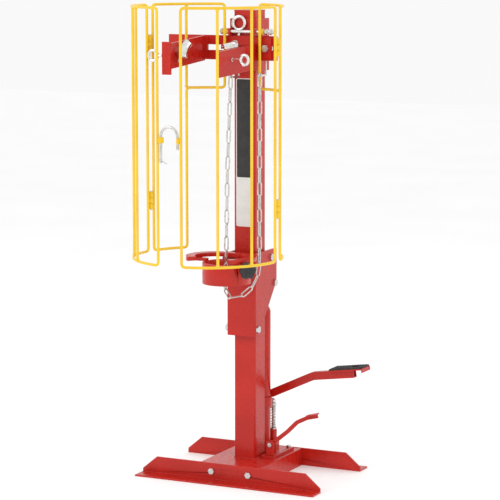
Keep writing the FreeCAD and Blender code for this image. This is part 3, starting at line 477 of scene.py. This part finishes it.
@dataclass
class Framework(Assembly):
    """The plates, tubes and turned pieces that keep the frame's own shape."""

    edge: float = 0.0009
    crisp_angle: float = 32.0
    weld_distance: float = 0.00001

    def dress(self) -> None:
        """Give each CAD node its slot's finish and softened edges."""
        for entry in frame["record"]["subparts"]:
            node = frame["nodes"][entry["node"]]
            finish = FINISHES[Slot(entry["material_slot"])]
            if not node.material_slots:
                node.data.materials.append(finish)
            for place in node.material_slots:
                place.material = finish
            if not node.hide_render:
                self.soften(node)

    def soften(self, node: bpy.types.Object) -> None:
        """Join a node's split corners and round its edges.

        Args:
            node: The CAD node's object.
        """
        weld = node.modifiers.new("weld", "WELD")
        weld.merge_threshold = self.weld_distance
        bevel = node.modifiers.new("edges", "BEVEL")
        bevel.width = self.edge
        bevel.segments = 2
        bevel.limit_method = "ANGLE"
        bevel.angle_limit = math.radians(self.crisp_angle)
        bevel.harden_normals = True


@dataclass
class Cage(Assembly):
    """The wire safety cage: two fixed rear panels and two hinged doors."""

    centre_y: float = -0.266
    radius: float = 0.209
    bottom: float = 0.680
    top: float = 1.381
    cut: float = 1.142
    wire: float = 0.004
    strap: float = 0.0034
    corner: float = 0.011
    knuckle: float = 0.007
    knuckle_length: float = 0.016
    knuckle_gap: float = 0.0006
    pin: float = 0.003
    hinge_heights: tuple = (0.825, 1.270)
    hinges: tuple = (168.5, 4.75)
    rod_lug: float = 0.0085
    rod_lug_half: float = 0.007
    latch_height: float = 1.024
    eye_outer: float = 0.008
    eye_bore: float = 0.0043
    eye_length: float = 0.016
    eye_bite: float = 0.0015
    weld_length: float = 0.009
    left_uprights: tuple = (172.0, 200.0, 228.0, 256.5)
    right_uprights: tuple = (277.0, 304.5, 332.0, 359.5)
    latch_wire: float = 0.0036
    latch_end: float = 0.84
    latch_drop: tuple = (0.062, 0.024)
    latch_rise: float = 0.010
    clip_wire: float = 0.0013

    def on(self, angle: float, height: float) -> Vector:
        """A point on the cage's cylinder."""
        turn = math.radians(angle)
        return Vector((self.radius * math.cos(turn), self.centre_y + self.radius * math.sin(turn), height))

    def run(self, start: tuple, end: tuple, step: float = 2.5) -> list:
        """Points between two places on the cylinder, each an angle and a height.

        Args:
            start: The first angle and height.
            end: The last angle and height.
            step: Degrees between points.

        Returns:
            The points, both ends included.
        """
        count = max(1, math.ceil(abs(end[0] - start[0]) / step))
        return [(start[0] + (end[0] - start[0]) * part / count,
                start[1] + (end[1] - start[1]) * part / count)
                for part in range(count + 1)]

    def border(self, corners: list) -> list:
        """A panel's outer wire, bent round at its corners.

        Args:
            corners: The corners' angles and heights, in order.

        Returns:
            The wire's closed path.
        """
        per_metre = math.degrees(1.0 / self.radius)
        ends = []
        for before, corner, after in zip(corners[-1:] + corners[:-1], corners, corners[1:] + corners[:1]):
            arms = []
            for other in (before, after):
                across = other[0] - corner[0]
                rise = other[1] - corner[1]
                if abs(rise) > abs(across) / per_metre:
                    arms.append((corner[0], corner[1] + math.copysign(self.corner, rise)))
                else:
                    arms.append((corner[0] + math.copysign(self.corner * per_metre, across), corner[1]))
            ends.append((arms[0], corner, arms[1]))
        path = []
        for (enter, corner, leave), following in zip(ends, ends[1:] + ends[:1]):
            for part in range(7):
                t = part / 6
                path.append(tuple(enter[k] * (1 - t) ** 2 + corner[k] * 2 * t * (1 - t) + leave[k] * t * t
                                  for k in (0, 1)))
            path += self.run(leave, following[0])[1:-1]
        return [self.on(*place) for place in path]

    def add_bar(self, mesh: bmesh.types.BMesh, start: Vector, end: Vector, radius: float) -> None:
        """Add a straight wire that flares into a weld at each end.

        Args:
            mesh: The bmesh to add to.
            start: One end, on another wire's middle line.
            end: The other end.
            radius: The wire's radius.
        """
        span = end - start
        length = span.length
        places = [(0.0, 1.0), (self.wire * 0.7, 1.42), (self.wire * 1.15, 1.30), (self.weld_length, 1.0)]
        stations = places + [(length - place, size) for place, size in reversed(places)]
        if length < 3 * self.weld_length:
            stations = [(0.0, 1.0), (length, 1.0)]
        path = [start + span * (place / length) for place, _ in stations]
        add_tube(mesh, path, [radius * size for _, size in stations])

    def add_knuckles(self, mesh: bmesh.types.BMesh, hinge: float, wire: float, fixed: bool) -> None:
        """Add a panel's hinge knuckles and the straps that hold them.

        Args:
            mesh: The bmesh to add to.
            hinge: The hinge's angle.
            wire: The angle of the upright that carries it.
            fixed: Whether this is the fixed panel, with two knuckles a hinge.
        """
        reach = self.knuckle_length + self.knuckle_gap
        for height in self.hinge_heights:
            for middle in ((height - reach, height + reach) if fixed else (height,)):
                low = self.on(hinge, middle - self.knuckle_length / 2)
                bore = self.pin + (0.0 if fixed else 0.0003)
                add_lathe(mesh, low, Z, sleeve_profile(self.knuckle, bore, self.knuckle_length))
                away = (self.on(wire, middle) - self.on(hinge, middle)).normalized()
                start = self.on(hinge, middle) + away * (self.knuckle - 0.0015)
                add_tube(mesh, [start, self.on(wire, middle)], [self.strap * 1.25, self.strap])

    def rear_panel(self, side: str, uprights: tuple, top_upright: float, hinge: float) -> None:
        """Build one fixed rear panel.

        Args:
            side: Its side, left or right.
            uprights: The angles of its two long uprights.
            top_upright: The angle of the short upright by the head.
            hinge: The angle of its door's hinge.
        """
        mesh = bmesh.new()
        corners = [(uprights[0], self.bottom), (uprights[0], self.top), (top_upright, self.top),
                   (top_upright, self.cut), (uprights[1], self.cut), (uprights[1], self.bottom)]
        path = self.border(corners)
        add_tube(mesh, path, [self.wire] * len(path), closed=True)
        self.add_bar(mesh, self.on(uprights[1], self.cut), self.on(uprights[1], self.top), self.wire)
        self.add_knuckles(mesh, hinge, uprights[0], True)
        self.add_lug(mesh, top_upright)
        name = f"{side}_rear_wires"
        self.place(mesh, name, "stand", Slot.YELLOW, f"rear_{side}_panel")

    def add_lug(self, mesh: bmesh.types.BMesh, angle: float) -> None:
        """Add the tube and web that hang a rear panel on the cage rod.

        Args:
            mesh: The bmesh to add to.
            angle: The angle of the upright that carries it.
        """
        low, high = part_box("cage_rod")
        rod = (Vector(low) + Vector(high)) / 2
        wire = self.on(angle, rod.z)
        start = Vector((wire.x - self.rod_lug_half, rod.y, rod.z))
        add_lathe(mesh, start, X, sleeve_profile(self.rod_lug, 0.0045, 2 * self.rod_lug_half))
        near = Vector((wire.x - 0.0045, wire.y + 0.001, rod.z - 0.0055))
        far = Vector((wire.x + 0.0045, rod.y - 0.005, rod.z))
        add_slab(mesh, box_outline(near, far), Z * 0.011, 0.0008)

    def door(self, side: str, uprights: tuple, hinge: float, hinge_wire: float, latch_wire: float,
            way: int) -> None:
        """Build one hinged door.

        Args:
            side: Its side, left or right.
            uprights: The angles of its four uprights.
            hinge: Its hinge's angle.
            hinge_wire: The angle of the upright beside the hinge.
            latch_wire: The angle of the upright that carries the latch's eye.
            way: Which way the eye stands along X.
        """
        mesh = bmesh.new()
        first, last = uprights[0], uprights[-1]
        path = self.border([(first, self.bottom), (first, self.top), (last, self.top), (last, self.bottom)])
        add_tube(mesh, path, [self.wire] * len(path), closed=True)
        for angle in uprights[1:-1]:
            self.add_bar(mesh, self.on(angle, self.bottom), self.on(angle, self.top), self.wire)
        self.add_knuckles(mesh, hinge, hinge_wire, False)
        self.add_eye(mesh, latch_wire, way)
        self.place(mesh, f"{side}_door_wires", f"{side}_door", Slot.YELLOW, f"{side}_door")

    def eye_centre(self, angle: float, way: int) -> Vector:
        """The middle of a latch eye beside an upright."""
        return self.on(angle, self.latch_height) + X * (way * (self.wire + self.eye_outer - self.eye_bite))

    def add_eye(self, mesh: bmesh.types.BMesh, angle: float, way: int) -> None:
        """Add the latch's eye: a whole sleeve, or on the right door an open keeper.

        Args:
            mesh: The bmesh to add to.
            angle: The angle of the upright that carries it.
            way: Which way it stands along X.
        """
        centre = self.eye_centre(angle, way)
        low = centre - Z * (self.eye_length / 2)
        if way > 0:
            add_lathe(mesh, low, Z, sleeve_profile(self.eye_outer, self.eye_bore, self.eye_length))
            return
        rings = []
        for part in range(15):
            turn = math.radians(-90 + 180 * part / 14)
            out = X * math.cos(turn) + Y * math.sin(turn)
            rings.append([low + out * radius + Z * rise for radius, rise in
                          sleeve_profile(self.eye_outer, self.eye_bore, self.eye_length)])
        add_rings(mesh, rings, False)

    def latch(self) -> None:
        """Build the bent latch wire with its spring clip."""
        wire = self.latch_wire
        left = self.eye_centre(self.left_uprights[-1], 1)
        right = self.eye_centre(self.right_uprights[0], -1)
        along = (right - left).normalized()
        half = (right - left).length / 2
        middle = (left + right) / 2 + Z * self.latch_rise
        path = [Vector((left.x, left.y,
                self.latch_height - self.latch_drop[0] + rise)) for rise in (0.0, 0.0006, 0.03, 0.06)]
        for part in range(25):
            turn = math.pi * (1 - part / 24)
            path.append(middle + along * (half * math.cos(turn)) + Z * (half * math.sin(turn)))
        path += [Vector((right.x, right.y,
                self.latch_height - drop)) for drop in (self.latch_drop[1] - 0.0006, self.latch_drop[1])]
        radii = [wire] * len(path)
        radii[0] = radii[-1] = wire * self.latch_end
        mesh = bmesh.new()
        add_tube(mesh, path, radii)
        clip = Vector((left.x, left.y, self.latch_height - 0.056))
        tail = [Vector((-0.006, 0, 0.003)), Vector((0, 0, 0)), Vector((0.008, 0, -0.003)),
                Vector((0.013, 0, -0.0055)), Vector((0.0178, 0, -0.008))]
        add_tube(mesh, [clip + point for point in tail], [self.clip_wire] * len(tail), sides=10)
        self.place(mesh, "latch_wire", "latch", Slot.ZINC, "latch_hook")

    def build(self) -> None:
        """Build all four panels and the latch."""
        self.rear_panel("left", (165.0, 134.0), 103.5, self.hinges[0])
        self.rear_panel("right", (10.0, 41.0), 72.0, self.hinges[1])
        left, right = self.left_uprights, self.right_uprights
        self.door("left", left, self.hinges[0], left[0], left[-1], 1)
        self.door("right", right, self.hinges[1], right[-1], right[0], -1)
        self.latch()


@dataclass
class Chain(Assembly):
    """The safety chain, a loop of oval welded links."""

    wire: float = 0.0021
    length: float = 0.042
    width: float = 0.015
    pitch: float = 0.0376
    weld_swell: float = 1.14
    weld_half: float = 0.0012
    route: tuple = ((-12, -98, 1180), (-20, -105, 900), (-24, -106, 640), (-26, -112, 575),
            (-14, -128, 549),
                    (12, -138, 543), (44, -126, 554), (69, -98, 588), (73, -86, 650), (74, -86, 1186))

    def add_link(self, mesh: bmesh.types.BMesh, centre: Vector, along: Vector, normal: Vector) -> None:
        """Add one oval link with the swelling of its weld.

        Args:
            mesh: The bmesh to add to.
            centre: The link's middle.
            along: Its long direction.
            normal: The direction square to its plane.
        """
        across = normal.cross(along).normalized()
        bend = self.width / 2 - self.wire
        straight = self.length / 2 - bend - self.wire
        path, radii = [], []
        for end in (1, -1):
            for part in range(13):
                turn = math.pi * part / 12
                path.append(centre + along * (end * (straight + bend * math.sin(turn)))
                            + across * (end * bend * math.cos(turn)))
                radii.append(self.wire)
            for part in (-1, 0, 1):
                path.append(centre - across * (end * bend) - along * (end * part * self.weld_half))
                radii.append(self.wire * (self.weld_swell if end > 0 and part == 0 else 1.0))
        add_tube(mesh, path, radii, closed=True, sides=12)

    def build(self) -> None:
        """Hang the links along the chain's route, each a quarter turn from the last."""
        route = [Vector(point) / 1000 for point in self.route]
        spans = [(b - a).length for a, b in zip(route, route[1:])]
        count = int(sum(spans) // self.pitch)
        count -= 1 - count % 2
        step_length = sum(spans) / count

        def point_at(distance: float) -> Vector:
            """Find a place along the route.

            Args:
                distance: How far along it the place is.

            Returns:
                The place.
            """
            for a, b, span in zip(route, route[1:], spans):
                if distance <= span:
                    return a + (b - a) * (distance / span)
                distance -= span
            return route[-1]

        mesh = bmesh.new()
        for step in range(count):
            start, end = point_at(step * step_length), point_at((step + 1) * step_length)
            along = (end - start).normalized()
            flat = along.cross(Y if abs(along.dot(Y)) < 0.8 else X).normalized()
            normal = flat if step % 2 else along.cross(flat).normalized()
            self.add_link(mesh, (start + end) / 2, along, normal)
        self.place(mesh, "chain_links", "stand", Slot.ZINC, "safety_chain")


@dataclass
class Label(Assembly):
    """The blank panel on the column's front: a pale backing with a dark field above."""

    margin: float = 0.0026
    backing: float = 0.00022
    corner: float = 0.006
    field_share: float = 0.66

    def build(self) -> None:
        """Build the backing and the dark field."""
        low, high = (Vector(corner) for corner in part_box("column_label"))
        middle, half = (low + high) / 2, (high - low) / 2
        mesh = bmesh.new()
        outline = rounded_rectangle(half.x, half.z, self.corner)
        add_slab(mesh, [Vector((middle.x + x, high.y, middle.z + z)) for x, z in outline],
                Y * -self.backing, 0.0)
        self.place(mesh, "label_backing", "stand", Slot.LABEL, "column_label", material=PALE_VINYL)
        tall = half.z * self.field_share
        centre = high.z - self.margin - tall
        mesh = bmesh.new()
        outline = rounded_rectangle(half.x - self.margin, tall, self.corner - self.margin)
        add_slab(mesh, [Vector((middle.x + x, high.y - self.backing * 0.5, centre + z)) for x, z in outline],
                 Y * (low.y - high.y + self.backing * 0.5), 0.0)
        self.place(mesh, "label_field", "stand", Slot.LABEL)


@dataclass
class ClampKnob(Assembly):
    """The lobed knob that turns the collar's clamp screw."""

    angle: float = -28.0
    height: float = 0.638
    seat: float = 0.092
    length: float = 0.022
    radius: float = 0.025
    lobes: int = 6
    lobe_depth: float = 0.17
    sides: int = 96
    hub: float = 0.009
    hub_back: float = 0.084

    def build(self) -> None:
        """Build the knob as rings that swell into its lobes."""
        turn = math.radians(self.angle)
        away = Vector((math.cos(turn), math.sin(turn), 0))
        side = Z.cross(away)
        centre = Vector((0, COLLAR_Y, self.height))
        layers = [(self.hub_back, self.hub * 0.94, 0.0), (self.hub_back + 0.0006, self.hub, 0.0),
                  (self.seat - 0.0002, self.hub, 0.0), (self.seat, self.radius * 0.80, 0.5),
                  (self.seat + 0.0015, self.radius * 0.965, 1.0), (self.seat + 0.0035, self.radius, 1.0),
                  (self.seat + 0.0165, self.radius, 1.0), (self.seat + 0.0195, self.radius * 0.95, 0.9),
                  (self.seat + 0.0212, self.radius * 0.84, 0.6), (self.seat + self.length,
                          self.radius * 0.62, 0.15),
                  (self.seat + self.length, self.radius * 0.30, 0.0),
                  (self.seat + self.length - 0.0012, self.radius * 0.24, 0.0)]
        rings = []
        for distance, size, depth in layers:
            ring = []
            for part in range(self.sides):
                angle = 2 * math.pi * part / self.sides
                scallop = 1.0 - self.lobe_depth * depth * (0.5 - 0.5 * math.cos(self.lobes * angle)) ** 1.5
                ring.append(centre + away * distance
                            + (side * math.cos(angle) + Z * math.sin(angle)) * (size * scallop))
            rings.append(ring)
        mesh = bmesh.new()
        add_rings(mesh, rings, False)
        self.place(mesh, "lobed_knob", "knob", Slot.PLASTIC, "clamp_knob")


@dataclass
class PedalPad(Assembly):
    """The ribbed rubber pad on the foot plate, with the window near its toe."""

    end_x: float = 0.2855
    end_z: float = 0.304
    centre_y: float = 0.118
    rise: float = 0.016
    back: float = 0.06978
    length: float = 0.105
    half_width: float = 0.0295
    base: float = 0.0042
    rib: float = 0.006
    ribs: int = 11
    window: tuple = (0.060, 0.086)
    window_half: float = 0.012
    tilt: float = 7.824

    def build(self) -> None:
        """Build the pad flat as a framed mat, then tilt it on to the foot plate."""
        mesh = bmesh.new()
        low = self.end_z + self.rise
        start = self.end_x - self.back
        front, rear = self.centre_y - self.half_width, self.centre_y + self.half_width
        opening = [start + place for place in self.window]
        mats = [(start, opening[0], front, rear), (opening[1], start + self.length, front, rear),
                (opening[0], opening[1], front, self.centre_y - self.window_half),
                (opening[0], opening[1], self.centre_y + self.window_half, rear)]
        for x0, x1, y0, y1 in mats:
            add_slab(mesh, box_outline(Vector((x0, y0, low)), Vector((x1, y1, low))), Z * self.base, 0.0006)
        for step in range(self.ribs):
            x = start + 0.004 + step * (self.length - 0.014) / (self.ribs - 1)
            crossing = opening[0] - 0.006 < x < opening[1]
            spans = [(front + 0.003, rear - 0.003)]
            if crossing:
                spans = [(front + 0.003, self.centre_y - self.window_half - 0.002),
                         (self.centre_y + self.window_half + 0.002, rear - 0.003)]
            for y0, y1 in spans:
                corners = box_outline(Vector((x, y0, low + 0.002)), Vector((x + 0.0055, y1, low)))
                add_slab(mesh, corners, Z * (self.rib - 0.0022), 0.0012)
        pivot = Vector((self.end_x, self.centre_y, self.end_z))
        turn = Matrix.Translation(pivot) @ Matrix.Rotation(math.radians(-self.tilt), 4, "Y")
        bmesh.ops.transform(mesh, matrix=turn @ Matrix.Translation(-pivot), verts=mesh.verts)
        self.place(mesh, "ribbed_pad", "pedal", Slot.RUBBER, "pedal_pad")


@dataclass
class ReturnSpring(Assembly):
    """The pedal's return spring and the washer that it stands on."""

    low: float = 0.116
    high: float = 0.186
    anchor: float = 0.112
    centre: tuple = (0.020, 0.118)
    radius: float = 0.008
    wire: float = 0.00125
    turns: int = 9
    stroke: float = 0.0168
    washer: tuple = (0.010, 0.0065)

    def build(self) -> None:
        """Wind the spring with closed ends, on a mesh of its own."""
        mesh = bmesh.new()
        steps = self.turns * 24
        height = self.high - self.low - 2 * self.wire
        path = []
        for step in range(steps + 1):
            share = step / steps
            eased = share - math.sin(2 * math.pi * share) * 0.035
            turn = 2 * math.pi * self.turns * share
            path.append(Vector((self.centre[0] + self.radius * math.cos(turn),
                                self.centre[1] + self.radius * math.sin(turn),
                                self.low + self.wire + height * eased)))
        add_tube(mesh, path, [self.wire] * len(path), sides=10)
        start = Vector((*self.centre, self.anchor))
        add_lathe(mesh, start, Z, sleeve_profile(*self.washer, self.low - self.anchor, 0.0005))
        piece = self.place(mesh, "wound_spring", "stand", Slot.ZINC, "return_spring")
        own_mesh(piece)


class WeldKind(Enum):
    """How heavy a weld bead is, as its radius in metres."""

    LIGHT = 0.0022
    HEAVY = 0.0032


@dataclass
class Welds(Assembly):
    """The rippled weld beads between the frame's plates and tubes."""

    ripple: float = 0.0032
    inset: float = 0.004

    def bead(self, name: str, body: str, corners: list, kind: WeldKind, closed: bool = False) -> None:
        """Lay one bead along a run of corners.

        Args:
            name: The bead's name.
            body: The body that it rides on.
            corners: The points that it passes through.
            kind: How heavy it is.
            closed: Whether it comes back to its start.
        """
        path = []
        runs = list(zip(corners, corners[1:] + corners[:1])) if closed else list(zip(corners, corners[1:]))
        for start, end in runs:
            count = max(2, round((end - start).length / (self.ripple / 4)))
            path += [start + (end - start) * (part / count) for part in range(count)]
        if not closed:
            path.append(corners[-1])
        radii = [kind.value * (0.86 + 0.14 * math.cos(math.pi * step / 2)) for step in range(len(path))]
        mesh = bmesh.new()
        add_tube(mesh, path, radii, closed, sides=10)
        self.place(mesh, name, body, Slot.RED)

    def build(self) -> None:
        """Lay the beads at the column's foot and the collar's bracket."""
        low, high = (Vector(corner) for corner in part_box("column"))
        beam_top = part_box("base_beam")[1][2]
        inset = self.inset
        foot = [Vector((x, y, beam_top)) for x, y in (
            (low.x + inset, low.y), (high.x - inset, low.y), (high.x, low.y + inset), (high.x,
                    high.y - inset),
            (high.x - inset, high.y), (low.x + inset, high.y), (low.x, high.y - inset), (low.x,
                    low.y + inset))]
        self.bead("column_foot_weld", "stand", foot, WeldKind.HEAVY, closed=True)
        low, high = (Vector(corner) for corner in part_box("collar_bracket"))
        seam = [Vector((low.x, high.y, low.z)), Vector((low.x, high.y, high.z)),
                Vector((high.x, high.y, high.z)), Vector((high.x, high.y, low.z))]
        self.bead("bracket_weld", "carriage", seam, WeldKind.LIGHT, closed=True)
        for name, x in (("left_collar_weld", low.x), ("right_collar_weld", high.x)):
            edge_y = COLLAR_Y + math.sqrt(COLLAR_RADIUS ** 2 - x ** 2)
            self.bead(name, "carriage", [Vector((x, edge_y, low.z)), Vector((x, edge_y, high.z - 0.008))],
                      WeldKind.LIGHT)


@dataclass
class Studio:
    """The pale floor, soft lights and camera."""

    eye: tuple = (2.8013, -5.7128, 1.5644)
    forward: tuple = (-0.43362, 0.88983, -0.14207)
    lens: float = 158.65
    shift: tuple = (-0.0103, 0.0102)
    sky: float = 0.95
    floor_glow: float = 0.17
    floor_half: float = 14.0
    aim: float = 0.7
    lamps: tuple = (("key", (-2.4, -3.2, 3.4), 2.4, 40.0), ("fill", (3.6, -2.2, 2.2), 2.8, 20.0),
                    ("back", (0.6, 3.4, 3.0), 2.4, 18.0))

    def floor(self) -> None:
        """Lay the floor."""
        mesh = bmesh.new()
        bmesh.ops.create_grid(mesh, x_segments=2, y_segments=2, size=self.floor_half)
        piece = to_object(mesh, "floor")
        material, tree, shader = new_material("pale_floor")
        tint = ramp(tree, noise(tree, 2.0), (0.80, 0.80, 0.80), (0.84, 0.84, 0.84), (0.3, 0.7))
        tree.links.new(tint.outputs["Color"], shader.inputs["Base Color"])
        shader.inputs["Roughness"].default_value = 0.65
        shader.inputs["Emission Color"].default_value = (1.0, 1.0, 1.0, 1.0)
        shader.inputs["Emission Strength"].default_value = self.floor_glow
        piece.data.materials.append(material)

    def lamp(self, name: str, place: tuple, size: float, power: float) -> None:
        """Hang a square soft light that looks at the machine.

        Args:
            name: The light's name.
            place: Where it hangs.
            size: Its side.
            power: Its power in watts.
        """
        data = bpy.data.lights.new(name, "AREA")
        data.size = size
        data.energy = power
        lamp = bpy.data.objects.new(name, data)
        lamp.location = place
        lamp.rotation_euler = (Vector((0, 0, self.aim)) - Vector(place)).to_track_quat("-Z", "Y").to_euler()
        bpy.context.scene.collection.objects.link(lamp)

    def camera(self) -> None:
        """Set up the camera."""
        data = bpy.data.cameras.new("camera")
        data.lens = self.lens
        data.sensor_width = 36.0
        data.shift_x, data.shift_y = self.shift
        data.clip_end = 100.0
        camera = bpy.data.objects.new("camera", data)
        camera.location = self.eye
        camera.rotation_euler = Vector(self.forward).to_track_quat("-Z", "Y").to_euler()
        bpy.context.scene.collection.objects.link(camera)
        bpy.context.scene.camera = camera

    def build(self) -> None:
        """Build the studio."""
        self.floor()
        self.camera()
        for lamp in self.lamps:
            self.lamp(*lamp)
        world = bpy.data.worlds.new("studio")
        world.use_nodes = True
        background = world.node_tree.nodes["Background"]
        background.inputs["Color"].default_value = (1.0, 1.0, 1.0, 1.0)
        background.inputs["Strength"].default_value = self.sky
        bpy.context.scene.world = world
        bpy.context.scene.view_settings.view_transform = "Standard"


def main() -> None:
    """Build the whole scene, assembly by assembly."""
    logging.basicConfig(level=logging.INFO, format="%(message)s")
    Studio().build()
    Cage().build()
    Chain().build()
    Label().build()
    ClampKnob().build()
    PedalPad().build()
    ReturnSpring().build()
    Welds().build()
    Framework().dress()


if __name__ == "__main__":
    main()
